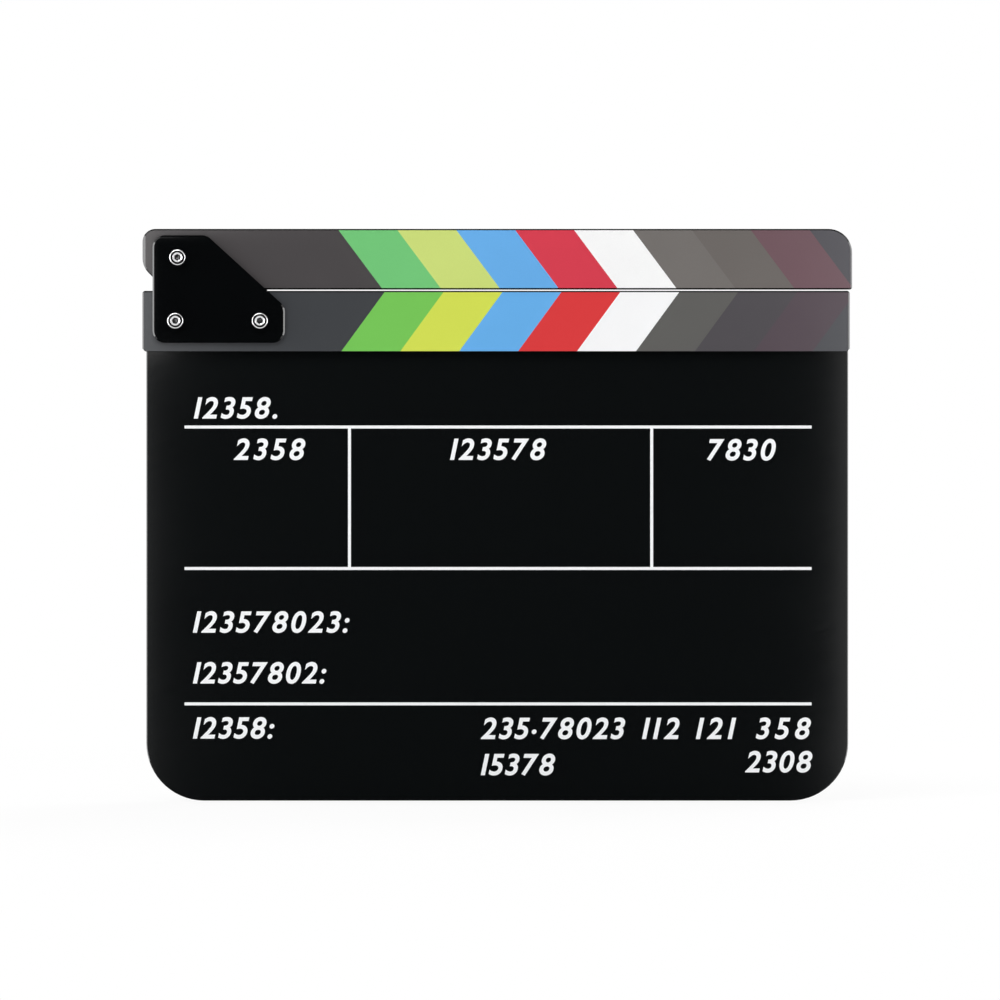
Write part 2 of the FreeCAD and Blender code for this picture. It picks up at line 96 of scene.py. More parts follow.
class Detail(Enum):
    """Number of finer layers in a cloudy pattern."""

    PLAIN = 1.0
    SOFT = 2.0
    RICH = 3.0


def print_colour(red: int, green: int, blue: int) -> Colour:
    """Linear colour of a printed one, whose red, green and blue run from 0 to 255."""
    shares = [level / FULL_LEVEL for level in (red, green, blue)]
    return tuple(Color(shares).from_srgb_to_scene_linear())


class Wire:
    """One output of a node, with arithmetic that adds Math nodes to its sheet."""

    def __init__(self, sheet: "Sheet", socket: bpy.types.NodeSocket) -> None:
        """Keep the sheet and the output socket."""
        self.sheet = sheet
        self.socket = socket

    def math(self, operation: str, *terms: Term) -> "Wire":
        """Result of one Math node on values or wires."""
        return self.sheet.node("ShaderNodeMath", {"operation": operation}, dict(enumerate(terms))).wire(0)

    def __add__(self, other: Term) -> "Wire":
        """This value plus another."""
        return self.math("ADD", self, other)

    __radd__ = __add__

    def __sub__(self, other: Term) -> "Wire":
        """This value less another."""
        return self.math("SUBTRACT", self, other)

    def __rsub__(self, other: Term) -> "Wire":
        """Another value less this one."""
        return self.math("SUBTRACT", other, self)

    def __mul__(self, other: Term) -> "Wire":
        """This value times another."""
        return self.math("MULTIPLY", self, other)

    __rmul__ = __mul__

    def __truediv__(self, other: Term) -> "Wire":
        """This value over another."""
        return self.math("DIVIDE", self, other)

    def __rtruediv__(self, other: Term) -> "Wire":
        """Another value over this one."""
        return self.math("DIVIDE", other, self)

    def __neg__(self) -> "Wire":
        """This value with its sign turned."""
        return self.math("MULTIPLY", self, -1.0)


class Placed:
    """A node on a sheet, whose outputs are taken as wires."""

    def __init__(self, sheet: "Sheet", node: bpy.types.Node) -> None:
        """Keep the sheet and the node."""
        self.sheet = sheet
        self.node = node

    def wire(self, key: Key) -> Wire:
        """Output of the node by its name, identifier or number."""
        return Wire(self.sheet, Sheet.pick(self.node.outputs, key))


class Sheet:
    """A node tree with one way to add a node, and the patterns that the finishes share."""

    def __init__(self, tree: bpy.types.NodeTree) -> None:
        """Keep the tree."""
        self.tree = tree

    @staticmethod
    def pick(sockets: Iterable[bpy.types.NodeSocket], key: Key) -> bpy.types.NodeSocket:
        """Find a socket.

        Args:
            sockets: A node's inputs or outputs.
            key: A socket's number, identifier or name.

        Returns:
            The socket, by identifier before name.
        """
        listed = list(sockets)
        if isinstance(key, int):
            return listed[key]
        for socket in listed:
            if socket.identifier == key:
                return socket
        return next(socket for socket in listed if socket.name == key)

    def node(self, kind: str, settings: Optional[dict] = None, inputs: Optional[dict] = None) -> Placed:
        """Add a node.

        Args:
            kind: The node's type.
            settings: Its properties, set first. "items" is the count of a switch's items.
            inputs: Values or wires of its sockets, by number, identifier or name.

        Returns:
            The node on this sheet.
        """
        made = self.tree.nodes.new(kind)
        for name, setting in (settings or {}).items():
            if name == "items":
                while len(made.index_switch_items) < setting:
                    made.index_switch_items.new()
            else:
                setattr(made, name, setting)
        for key, term in (inputs or {}).items():
            socket = self.pick(made.inputs, key)
            if isinstance(term, Wire):
                self.tree.links.new(term.socket, socket)
            else:
                socket.default_value = (*term, 1.0) if socket.type == "RGBA" and len(term) == 3 else term
        return Placed(self, made)

    def point(self) -> Wire:
        """Place on the piece in its own frame."""
        return self.node("ShaderNodeTexCoord").wire("Object")

    def mark(self, name: str) -> Wire:
        """Value that the piece's mesh holds under a name."""
        return self.node("ShaderNodeAttribute", {"attribute_name": name}).wire("Fac")

    def mapped(self, vector: Wire, stretch: Sequence[float], turn: Sequence[float] = (0.0, 0.0, 0.0)) -> Wire:
        """Place turned about the three axes, then stretched along them."""
        turned = self.node("ShaderNodeMapping", {}, {"Vector": vector, "Rotation": turn}).wire(0)
        return self.node("ShaderNodeMapping", {}, {"Vector": turned, "Scale": stretch}).wire(0)

    def noise(self, vector: Wire, size: float, detail: Detail) -> Wire:
        """Cloudy pattern about its mean, with clouds of one breadth."""
        inputs = {"Vector": vector, "Scale": 1.0 / size, "Detail": detail.value}
        return self.node("ShaderNodeTexNoise", {}, inputs).wire(0)

    def cells(self, vector: Wire, size: float) -> Wire:
        """Distance from the middles of scattered cells, as a share of a cell's breadth."""
        return self.node("ShaderNodeTexVoronoi", {}, {"Vector": vector, "Scale": 1.0 / size}).wire("Distance")

    def ramp(self, value: Wire, step: Step) -> Wire:
        """Smooth rise from 0 to 1.

        Args:
            value: The value to read.
            step: Where the rise starts and where it ends.

        Returns:
            The risen value.
        """
        settings = {"interpolation_type": "SMOOTHSTEP"}
        inputs = {"Value": value, "From Min": step[0], "From Max": step[1]}
        return self.node("ShaderNodeMapRange", settings, inputs).wire("Result")

    def blend(self, share: Wire, first: Term, second: Term) -> Wire:
        """Two colours mixed, by the share of the second one."""
        inputs = {"Factor_Float": share, "A_Color": first, "B_Color": second}
        return self.node("ShaderNodeMix", {"data_type": "RGBA"}, inputs).wire("Result_Color")

    def toned(self, colour: Colour, tone: Wire) -> Wire:
        """One colour, lighter or darker by a factor near 1."""
        return self.node("ShaderNodeVectorMath", {"operation": "SCALE"}, {0: colour, "Scale": tone}).wire(0)

    def bump(self, height: Wire, depth: float, strength: float) -> Wire:
        """Normal of a relief from 0 to 1: how deep 1 is, and the share of it that shows."""
        inputs = {"Height": height, "Distance": depth, "Strength": strength}
        return self.node("ShaderNodeBump", {}, inputs).wire(0)

    def looked_at(self) -> Wire:
        """One for rays from the eye, from gloss and through glass, and nought for the light itself.

        Returns:
            The share, from 0 to 1.
        """
        path = self.node("ShaderNodeLightPath")
        seen = path.wire("Is Camera Ray") + path.wire("Is Glossy Ray") + path.wire("Is Transmission Ray")
        return seen.math("MINIMUM", seen, 1.0)


@dataclass(frozen=True)
class Finish:
    """A named material, whose nodes each kind of finish lays out."""

    name: str

    def lay(self, sheet: Sheet) -> dict[str, Term]:
        """Values and wires of the surface shader's sockets, by name."""
        raise NotImplementedError

    def shader(self, sheet: Sheet) -> Wire:
        """Surface shader with this finish's values."""
        return sheet.node("ShaderNodeBsdfPrincipled", {}, self.lay(sheet)).wire("BSDF")

    def material(self) -> bpy.types.Material:
        """The material, made on first use.

        Returns:
            The Blender material.
        """
        made = bpy.data.materials.get(self.name)
        if made is None:
            made = bpy.data.materials.new(self.name)
            made.use_nodes = True
            made.node_tree.nodes.clear()
            sheet = Sheet(made.node_tree)
            sheet.node("ShaderNodeOutputMaterial", {}, {"Surface": self.shader(sheet)})
        return made

    def dress(self, *nodes: str) -> None:
        """Give this finish to CAD nodes by name.

        Args:
            nodes: The nodes' names.
        """
        for node in nodes:
            for slot in frame["nodes"][node].material_slots:
                slot.material = self.material()
            LOG.info("%s dressed in %s", node, self.name)


@dataclass(frozen=True)
class GlossAcrylic(Finish):
    """Polished black sheet with faint wiping marks, hair scratches and settled dust."""

    shade: Colour
    roughness: float
    wipe: float = 0.03
    cloud_size: float = 45 * MM
    hair_size: float = 0.35 * MM
    hair_length: float = 60.0
    hair_turn: float = 0.35
    hair_depth: float = 0.0006 * MM
    hair_strength: float = 0.5
    dust: Colour = (0.02, 0.02, 0.021)
    dust_share: float = 0.35
    dust_roughness: float = 0.25
    dusty_clouds: Step = (0.5, 0.75)
    speck_size: float = 2.2 * MM
    speck_edge: Step = (0.02, 0.055)

    def lay(self, sheet: Sheet) -> dict[str, Term]:
        """Dark base with dust specks, uneven gloss and hair scratches.

        Args:
            sheet: The material's sheet.

        Returns:
            The shader's values and wires.
        """
        point = sheet.point()
        cloud = sheet.noise(point, self.cloud_size, Detail.RICH)
        combed = sheet.mapped(point, (1.0 / self.hair_length, 1.0, 1.0), (0.0, self.hair_turn, 0.0))
        hair = sheet.noise(combed, self.hair_size, Detail.PLAIN)
        speck = 1.0 - sheet.ramp(sheet.cells(point, self.speck_size), self.speck_edge)
        dusty = speck * sheet.ramp(cloud, self.dusty_clouds) * self.dust_share
        wiped = self.roughness + self.wipe * (cloud - CLOUD_MEAN) + self.wipe * (hair - CLOUD_MEAN)
        return {
            "Base Color": sheet.blend(dusty, self.shade, self.dust),
            "Roughness": wiped + self.dust_roughness * dusty,
            "Normal": sheet.bump(hair, self.hair_depth, self.hair_strength),
        }


@dataclass(frozen=True)
class PrintedFilm(Finish):
    """Satin printed film: fine dot grain, a slow drift of tone and a slight orange peel."""

    colour: Colour
    roughness: float = 0.12
    ior: float = 1.6
    dot_size: float = 0.3 * MM
    dot_share: float = 0.07
    dot_roughness: float = 0.03
    drift_size: float = 30 * MM
    drift_share: float = 0.08
    drift_roughness: float = 0.04
    peel_size: float = 0.9 * MM
    peel_depth: float = 0.004 * MM
    peel_strength: float = 0.25

    def lay(self, sheet: Sheet) -> dict[str, Term]:
        """Print colour with grain and drift, satin gloss and relief.

        Args:
            sheet: The material's sheet.

        Returns:
            The shader's values and wires.
        """
        point = sheet.point()
        dots = sheet.noise(point, self.dot_size, Detail.PLAIN) - CLOUD_MEAN
        drift = sheet.noise(point, self.drift_size, Detail.SOFT) - CLOUD_MEAN
        peel = sheet.noise(point, self.peel_size, Detail.SOFT)
        return {
            "Base Color": sheet.toned(self.colour, 1.0 + self.dot_share * dots + self.drift_share * drift),
            "Roughness": self.roughness + self.drift_roughness * drift + self.dot_roughness * dots,
            "IOR": self.ior,
            "Normal": sheet.bump(peel, self.peel_depth, self.peel_strength),
        }


@dataclass(frozen=True)
class ScreenInk(Finish):
    """White screen print, with a mesh grain and a slightly uneven coat."""

    colour: Colour = (0.93, 0.945, 0.955)
    thin: Colour = (0.8, 0.815, 0.83)
    roughness: float = 0.5
    coat_size: float = 6 * MM
    coat_edge: Step = (0.75, 1.0)
    grain_size: float = 0.22 * MM
    grain_share: float = 0.3
    grain_roughness: float = 0.2
    grain_depth: float = 0.01 * MM
    grain_strength: float = 0.5

    def lay(self, sheet: Sheet) -> dict[str, Term]:
        """Nearly white coat, thinner in places, with a matt grain.

        Args:
            sheet: The material's sheet.

        Returns:
            The shader's values and wires.
        """
        point = sheet.point()
        grain = sheet.noise(point, self.grain_size, Detail.PLAIN)
        coat = sheet.noise(point, self.coat_size, Detail.RICH)
        worn = sheet.ramp(coat + self.grain_share * grain, self.coat_edge)
        return {
            "Base Color": sheet.blend(worn, self.colour, self.thin),
            "Roughness": self.roughness + self.grain_roughness * (grain - CLOUD_MEAN),
            "Normal": sheet.bump(grain, self.grain_depth, self.grain_strength),
        }


@dataclass(frozen=True)
class PlatedSteel(Finish):
    """Turned and plated steel: rings left by the tool, uneven plating, dull spots and painted shade in its
    recesses.
    """

    colour: Colour
    roughness: float
    ring_pitch: float = 0.16 * MM
    ring_depth: float = 0.0008 * MM
    ring_strength: float = 0.35
    ring_roughness: float = 0.3
    mottle_size: float = 0.8 * MM
    mottle_roughness: float = 0.6
    dull_edge: Step = (0.52, 0.75)
    dull_level: float = 0.78
    # Colour and added roughness of the painted shade in the recesses.
    soil: Colour = (0.02, 0.02, 0.02)
    painted_shade_roughness: float = 0.2

    def lay(self, sheet: Sheet) -> dict[str, Term]:
        """Metal with rings at each distance from the axis, mottled plating and painted shade in its recesses.

        Args:
            sheet: The material's sheet.

        Returns:
            The shader's values and wires.
        """
        radius = sheet.mark(TURN_RADIUS)
        wave = radius.math("SINE", radius * (math.tau / self.ring_pitch)) * 0.5 + 0.5
        mottle = sheet.noise(sheet.point(), self.mottle_size, Detail.RICH)
        worn = tuple(self.dull_level * level for level in self.colour)
        plating = sheet.blend(sheet.ramp(mottle, self.dull_edge), self.colour, worn)
        # Painted shade: the base colour darkens where the mesh marks a recess.
        shade_share = sheet.mark(PAINTED_SHADE)
        uneven = 1.0 + self.mottle_roughness * (mottle - CLOUD_MEAN) + self.ring_roughness * wave
        return {
            "Base Color": sheet.blend(shade_share, plating, self.soil),
            "Metallic": 1.0,
            "Roughness": self.roughness * uneven + self.painted_shade_roughness * shade_share,
            "Normal": sheet.bump(wave, self.ring_depth, self.ring_strength),
        }


@dataclass(frozen=True)
class FoamTape(Finish):
    """Black foam tape, with open cells at its cut edge."""

    colour: Colour = (0.012, 0.012, 0.012)
    wall: Colour = (0.03, 0.03, 0.031)
    wall_edge: Step = (0.3, 0.7)
    roughness: float = 0.85
    cell_size: float = 0.25 * MM
    cell_roughness: float = 0.1
    cell_depth: float = 0.08 * MM
    cell_strength: float = 0.7

    def lay(self, sheet: Sheet) -> dict[str, Term]:
        """Dark cells between paler walls.

        Args:
            sheet: The material's sheet.

        Returns:
            The shader's values and wires.
        """
        cell = sheet.cells(sheet.point(), self.cell_size)
        return {
            "Base Color": sheet.blend(sheet.ramp(cell, self.wall_edge), self.colour, self.wall),
            "Roughness": self.roughness + self.cell_roughness * cell,
            "Normal": sheet.bump(cell, self.cell_depth, self.cell_strength),
        }


@dataclass(frozen=True)
class TurnedBrass(Finish):
    """Drawn brass tube, with fine lines round it and slight tarnish."""

    colour: Colour = (0.72, 0.5, 0.2)
    tarnish: Colour = (0.42, 0.27, 0.1)
    roughness: float = 0.24
    line_size: float = 0.12 * MM
    line_stretch: Place = (0.02, 1.0, 0.02)
    line_depth: float = 0.003 * MM
    line_strength: float = 0.5
    line_roughness: float = 0.12
    stain_size: float = 1.6 * MM
    stain_edge: Step = (0.45, 0.75)
    stain_share: float = 0.6
    stain_roughness: float = 0.12

    def lay(self, sheet: Sheet) -> dict[str, Term]:
        """Yellow metal with tarnish in clouds and lines across its length.

        Args:
            sheet: The material's sheet.

        Returns:
            The shader's values and wires.
        """
        point = sheet.point()
        lines = sheet.noise(sheet.mapped(point, self.line_stretch), self.line_size, Detail.SOFT)
        stain = sheet.ramp(sheet.noise(point, self.stain_size, Detail.RICH), self.stain_edge)
        return {
            "Base Color": sheet.blend(stain * self.stain_share, self.colour, self.tarnish),
            "Metallic": 1.0,
            "Roughness": self.roughness + self.line_roughness * lines + self.stain_roughness * stain,
            "Normal": sheet.bump(lines, self.line_depth, self.line_strength),
        }


@dataclass(frozen=True)
class MouldedNylon(Finish):
    """Moulded nylon, waxy and faintly cloudy."""

    colour: Colour
    cloud: Colour
    roughness: float = 0.42
    cloud_size: float = 2.5 * MM
    cloud_edge: Step = (0.35, 0.7)
    grain_size: float = 0.2 * MM
    grain_roughness: float = 0.15
    grain_depth: float = 0.006 * MM
    grain_strength: float = 0.4

    def lay(self, sheet: Sheet) -> dict[str, Term]:
        """Cloudy plastic with a fine moulded grain.

        Args:
            sheet: The material's sheet.

        Returns:
            The shader's values and wires.
        """
        point = sheet.point()
        cloud = sheet.noise(point, self.cloud_size, Detail.RICH)
        grain = sheet.noise(point, self.grain_size, Detail.PLAIN)
        return {
            "Base Color": sheet.blend(sheet.ramp(cloud, self.cloud_edge), self.colour, self.cloud),
            "Roughness": self.roughness + self.grain_roughness * (grain - CLOUD_MEAN),
            "Normal": sheet.bump(grain, self.grain_depth, self.grain_strength),
        }


@dataclass(frozen=True)
class WhiteSweep(Finish):
    """White studio paper that looks white and still takes a soft shadow."""

    paper: Colour = (0.86, 0.86, 0.86)
    glow_share: float = 0.86
    fade: Step = (0.3, 0.8)

    def shader(self, sheet: Sheet) -> Wire:
        """Paper for the light, mixed with plain white for what is looked at, all white away from the object.

        Args:
            sheet: The material's sheet.

        Returns:
            The mixed shader.
        """
        paper = sheet.node("ShaderNodeBsdfDiffuse", {}, {"Color": self.paper}).wire(0)
        glow = sheet.node("ShaderNodeEmission", {}, {"Color": WHITE, "Strength": 1.0}).wire(0)
        away = sheet.node("ShaderNodeVectorMath", {"operation": "LENGTH"}, {0: sheet.point()}).wire("Value")
        faded = sheet.ramp(away, self.fade)
        share = sheet.looked_at() * (self.glow_share + (1.0 - self.glow_share) * faded)
        return sheet.node("ShaderNodeMixShader", {}, {0: share, 1: paper, 2: glow}).wire(0)


@dataclass(frozen=True)
class BlackCard(Finish):
    """Black studio card, which gloss surfaces mirror."""

    def shader(self, sheet: Sheet) -> Wire:
        """A card that gives no light back."""
        return sheet.node("ShaderNodeEmission", {}, {"Color": BLACK, "Strength": 0.0}).wire(0)


STEEL_BRIGHT = PlatedSteel("Bright plated steel", (0.74, 0.74, 0.75), 0.06)
STEEL_ZINC = PlatedSteel("Zinc plated steel", (0.58, 0.59, 0.61), 0.34, mottle_size=1.4 * MM)
INK = ScreenInk("White screen ink")
NYLON_NATURAL = MouldedNylon("Natural nylon", (0.74, 0.72, 0.66), (0.66, 0.63, 0.56))
NYLON_BLUE = MouldedNylon("Blue nylon", (0.035, 0.11, 0.42), (0.025, 0.08, 0.33), cloud_size=0.9 * MM)


def put_in_scene(name: str, data: bpy.types.ID) -> bpy.types.Object:
    """Stand a mesh, text, lamp or camera in the scene.

    Args:
        name: The object's name.
        data: What it holds.

    Returns:
        The object.
    """
    made = bpy.data.objects.new(name, data)
    bpy.context.scene.collection.objects.link(made)
    return made


def plain_mesh(piece: bpy.types.Object) -> bpy.types.Mesh:
    """Mesh of an object with its modifiers or its curve worked out."""
    graph = bpy.context.evaluated_depsgraph_get()
    return bpy.data.meshes.new_from_object(piece.evaluated_get(graph), depsgraph=graph)


def shade(mesh: bpy.types.Mesh) -> None:
    """Shade a mesh smooth, with sharp edges at its creases.

    Args:
        mesh: The mesh.
    """
    mesh.polygons.foreach_set("use_smooth", [True] * len(mesh.polygons))
    mesh.set_sharp_from_angle(angle=CREASE)
    mesh.update()


def add_piece(piece: bpy.types.Object, replaced: Sequence[str] = ()) -> None:
    """Hang a piece on the slate, and hide the CAD nodes that it stands for.

    Args:
        piece: The piece.
        replaced: CAD nodes that it stands for.
    """
    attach(piece, SLATE)
    if replaced:
        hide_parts(*replaced)
    LOG.info("%s rides on %s, %d faces", piece.name, SLATE, len(piece.data.polygons))


@dataclass(frozen=True)
class Ring:
    """One ring of a turned outline.

    A hexagonal ring's radius is half its width across flats. A knurled ring has every other point pulled in, a
    coned one is cut back in height by the chamfer cone of a nut, and a shaded one is painted darker and
    rougher, as painted shade.
    """

    height: Term
    radius: Term
    hexagon: float = 0.0
    knurl: float = 0.0
    cone: float = 0.0
    soil: float = 0.0


class FastenerTree:
    """Geometry Nodes tree that stands one turned fastener at every point of an object's mesh."""

    SIDES = 72
    COIL_STEPS = 24
    RIDGE_SIDES = 6
    HEX_TURN = math.pi / 3.0
    CONE_SLOPE = math.tan(math.radians(30.0))
    CONE_SHARE = 0.95
    MERGE = 0.0005 * MM

    def __init__(self, name: str, sizes: dict[str, float]) -> None:
        """Start a tree with one named input for each size.

        Args:
            name: The tree's name.
            sizes: The fastener's sizes by name.
        """
        self.sizes = sizes
        self.tree = bpy.data.node_groups.new(name, "GeometryNodeTree")
        self.tree.is_modifier = True
        self.socket("Geometry", "INPUT", "NodeSocketGeometry")
        self.keys = {label: self.socket(label, "INPUT", "NodeSocketFloat") for label in sizes}
        self.finish_key = self.socket("Finish", "INPUT", "NodeSocketMaterial")
        self.socket("Geometry", "OUTPUT", "NodeSocketGeometry")
        self.sheet = Sheet(self.tree)
        self.entry = self.sheet.node("NodeGroupInput")

    def socket(self, label: str, way: str, kind: str) -> str:
        """Identifier of a new input or output of the tree."""
        return self.tree.interface.new_socket(label, in_out=way, socket_type=kind).identifier

    def size(self, label: str) -> Wire:
        """One of the tree's named sizes."""
        return self.entry.wire(label)

    def half(self, label: str) -> Wire:
        """Half of one of the tree's named sizes."""
        return self.size(label) / 2.0

    def table(self, number: Wire, values: Sequence[Term]) -> Wire:
        """Value of each ring, by its number.

        Args:
            number: The ring's number.
            values: One value or wire for each ring.

        Returns:
            The value for the ring that a point is on.
        """
        inputs: dict[Key, Term] = {"Index": number}
        inputs.update({index + 1: value for index, value in enumerate(values)})
        settings = {"data_type": "FLOAT", "items": len(values)}
        return self.sheet.node("GeometryNodeIndexSwitch", settings, inputs).wire(0)

    def turn(self, rings: Sequence[Ring], closed: bool, knurl_depth: Term = 0.0) -> Wire:
        """Turned solid from its rings.

        Args:
            rings: The outline, from its lower end up and round. A closed one ends on its first ring.
            closed: Whether the outline goes round a bore, rather than from axis to axis.
            knurl_depth: How far the knurl's grooves go in.

        Returns:
            The solid.
        """
        sheet = self.sheet
        spans = len(rings) - 1
        settings = {"fill_type": "NONE" if closed else "NGON"}
        inputs = {"Vertices": self.SIDES, "Side Segments": spans, "Radius": 1.0, "Depth": float(spans)}
        solid = sheet.node("GeometryNodeMeshCylinder", settings, inputs).wire("Mesh")
        place = sheet.node("GeometryNodeInputPosition").wire(0)
        parts = sheet.node("ShaderNodeSeparateXYZ", {}, {0: place})
        x, y, z = (parts.wire(axis) for axis in "XYZ")
        number = z.math("ROUND", z + spans / 2.0)
        angle = x.math("ARCTAN2", y, x)
        radius = self.table(number, [ring.radius for ring in rings])
        height = self.table(number, [ring.height for ring in rings])
        if any(ring.hexagon for ring in rings):
            share = self.table(number, [ring.hexagon for ring in rings])
            within = angle.math("FLOORED_MODULO", angle, self.HEX_TURN) - self.HEX_TURN / 2.0
            flat = radius
            radius = flat * (1.0 + share * (1.0 / within.math("COSINE", within) - 1.0))
            if any(ring.cone for ring in rings):
                cone = self.table(number, [ring.cone for ring in rings])
                height = height - cone * self.CONE_SLOPE * (radius - flat * self.CONE_SHARE)
        if any(ring.knurl for ring in rings):
            step = angle.math("ROUND", angle * (self.SIDES / math.tau))
            groove = step.math("FLOORED_MODULO", step, 2.0)
            radius = radius - self.table(number, [ring.knurl for ring in rings]) * groove * knurl_depth
        moved = sheet.node("ShaderNodeCombineXYZ", {}, {0: x * radius, 1: y * radius, 2: height}).wire(0)
        for name, marks in ((TURN_RADIUS, radius), (PAINTED_SHADE, self.table(number, [ring.soil for ring in rings]))):
            solid = sheet.node(
                "GeometryNodeStoreNamedAttribute",
                {"data_type": "FLOAT", "domain": "POINT"},
                {"Geometry": solid, "Name": name, "Value": marks},
            ).wire(0)
        shaped = sheet.node("GeometryNodeSetPosition", {}, {"Geometry": solid, "Position": moved}).wire(0)
        if not closed:
            return shaped
        inputs = {"Geometry": shaped, "Distance": self.MERGE}
        return sheet.node("GeometryNodeMergeByDistance", {}, inputs).wire(0)

    def thread(self, radius: Wire, ridge: Wire, pitch: Wire, length: Wire, bottom: Wire) -> Wire:
        """Helical ridge of a screw thread.

        Args:
            radius: Distance of the ridge's middle from the axis.
            ridge: The ridge's own radius.
            pitch: Rise of one turn.
            length: Height of the threaded part.
            bottom: Height at which it starts.

        Returns:
            The ridge as a closed tube.
        """
        sheet = self.sheet
        coil = sheet.node("GeometryNodeCurveSpiral", {}, {
            "Resolution": self.COIL_STEPS, "Rotations": length / pitch,
            "Start Radius": radius, "End Radius": radius, "Height": length,
        }).wire(0)
        section = sheet.node(
            "GeometryNodeCurvePrimitiveCircle", {}, {"Resolution": self.RIDGE_SIDES, "Radius": ridge}
        ).wire(0)
        tube = sheet.node(
            "GeometryNodeCurveToMesh", {}, {"Curve": coil, "Profile Curve": section, "Fill Caps": True}
        ).wire(0)
        drop = sheet.node("ShaderNodeCombineXYZ", {}, {2: bottom}).wire(0)
        return sheet.node("GeometryNodeTransform", {}, {"Geometry": tube, "Translation": drop}).wire(0)

    def close(self, *solids: Wire) -> None:
        """End the tree: stand the solids at the points, turned to face the front, as one plain mesh.

        Args:
            solids: The fastener's parts.
        """
        sheet = self.sheet
        joined = sheet.node("GeometryNodeJoinGeometry")
        for solid in solids:
            self.tree.links.new(solid.socket, joined.node.inputs[0])
        spin = sheet.node("GeometryNodeInputNamedAttribute", {"data_type": "FLOAT"}, {"Name": SPIN}).wire(0)
        angles = sheet.node("ShaderNodeCombineXYZ", {}, {0: math.pi / 2.0, 1: spin}).wire(0)
        turned = sheet.node("FunctionNodeEulerToRotation", {}, {0: angles}).wire(0)
        stood = sheet.node("GeometryNodeInstanceOnPoints", {}, {
            "Points": self.entry.wire("Geometry"), "Instance": joined.wire(0), "Rotation": turned,
        }).wire(0)
        real = sheet.node("GeometryNodeRealizeInstances", {}, {"Geometry": stood}).wire(0)
        dressed = sheet.node(
            "GeometryNodeSetMaterial", {}, {"Geometry": real, "Material": self.entry.wire("Finish")}
        ).wire(0)
        sheet.node("NodeGroupOutput", {}, {"Geometry": dressed})

    def make(
        self, name: str, places: Sequence[Vector], spins: Sequence[float], finish: Finish
    ) -> bpy.types.Object:
        """Fasteners at places, as one piece with a plain mesh.

        Args:
            name: The piece's name.
            places: Where each fastener's own origin stands.
            spins: Each fastener's turn about its axis.
            finish: Their finish.

        Returns:
            The piece.
        """
        points = bpy.data.meshes.new(f"{name}_points")
        points.from_pydata([tuple(place) for place in places], [], [])
        points.attributes.new(SPIN, "FLOAT", "POINT").data.foreach_set("value", list(spins))
        piece = put_in_scene(name, points)
        modifier = piece.modifiers.new(name, "NODES")
        modifier.node_group = self.tree
        for label, key in self.keys.items():
            modifier[key] = self.sizes[label]
        modifier[self.finish_key] = finish.material()
        mesh = plain_mesh(piece)
        mesh.name = name
        piece.modifiers.clear()
        piece.data = mesh
        shade(mesh)
        return piece


@dataclass(frozen=True)
class Numeral:
    """One line of printed numerals: what it says, its left end, its baseline and its width in millimetres."""

    text: str
    left: float
    baseline: float
    width: float


